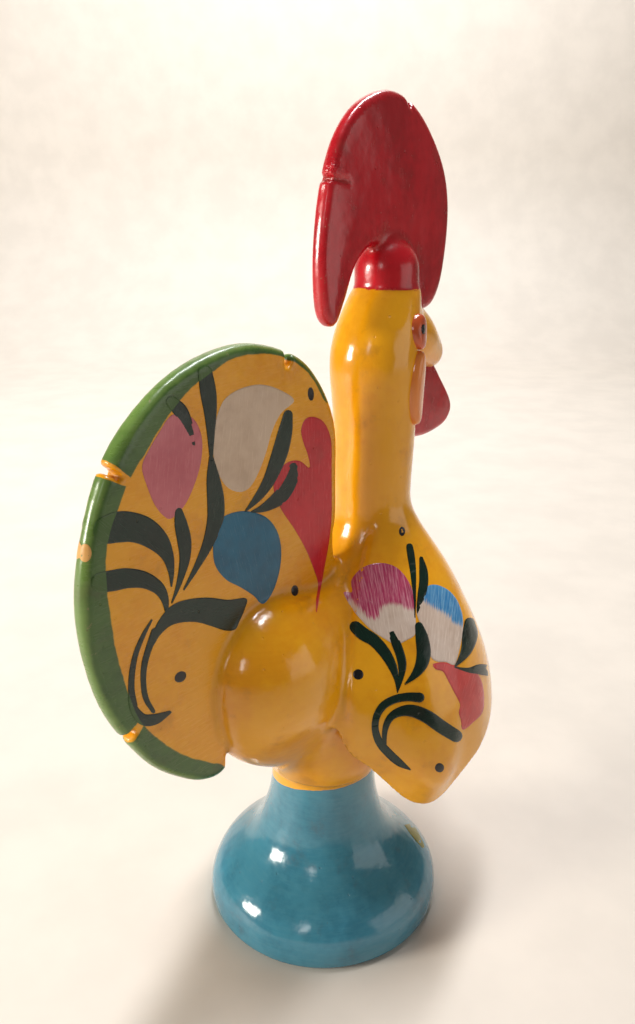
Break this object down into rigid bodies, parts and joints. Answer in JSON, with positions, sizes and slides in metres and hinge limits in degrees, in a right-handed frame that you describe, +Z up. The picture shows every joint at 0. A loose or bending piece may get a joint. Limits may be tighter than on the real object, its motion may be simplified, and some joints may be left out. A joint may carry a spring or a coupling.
{
  "type": "folk art cockerel figure",
  "caption": "Painted fired-clay cockerel standing on a flared bell foot, with a fan tail, spread wings, a tall comb, beak and wattle.",
  "frame": {"origin": "on the foot's turning axis, in the plane that the foot rests on", "axes": "+X towards the beak, +Y to the cockerel's left, +Z up along the foot's axis"},
  "size_m": [0.171, 0.1032, 0.282],
  "materials": {
    "yellow_enamel": "glossy brushed enamel over fired clay, warm yellow, with painted flowers, leaves and dots",
    "red_enamel": "glossy brushed enamel over fired clay, deep red",
    "blue_enamel": "glossy brushed enamel over fired clay, grey blue",
    "orange_enamel": "glossy enamel over fired clay, orange, with a black pupil on the eyes"
  },
  "bodies": {
    "root": {"foot": "blue_enamel", "body": "yellow_enamel", "breast_and_neck": "yellow_enamel", "right_wing": "yellow_enamel", "left_wing": "yellow_enamel", "tail": "yellow_enamel", "comb_stem": "red_enamel", "comb": "red_enamel", "beak": "yellow_enamel", "wattle": "red_enamel", "right_eye": "orange_enamel", "left_eye": "orange_enamel", "right_ear_lobe": "orange_enamel", "left_ear_lobe": "orange_enamel"}
  },
  "joints": []
}
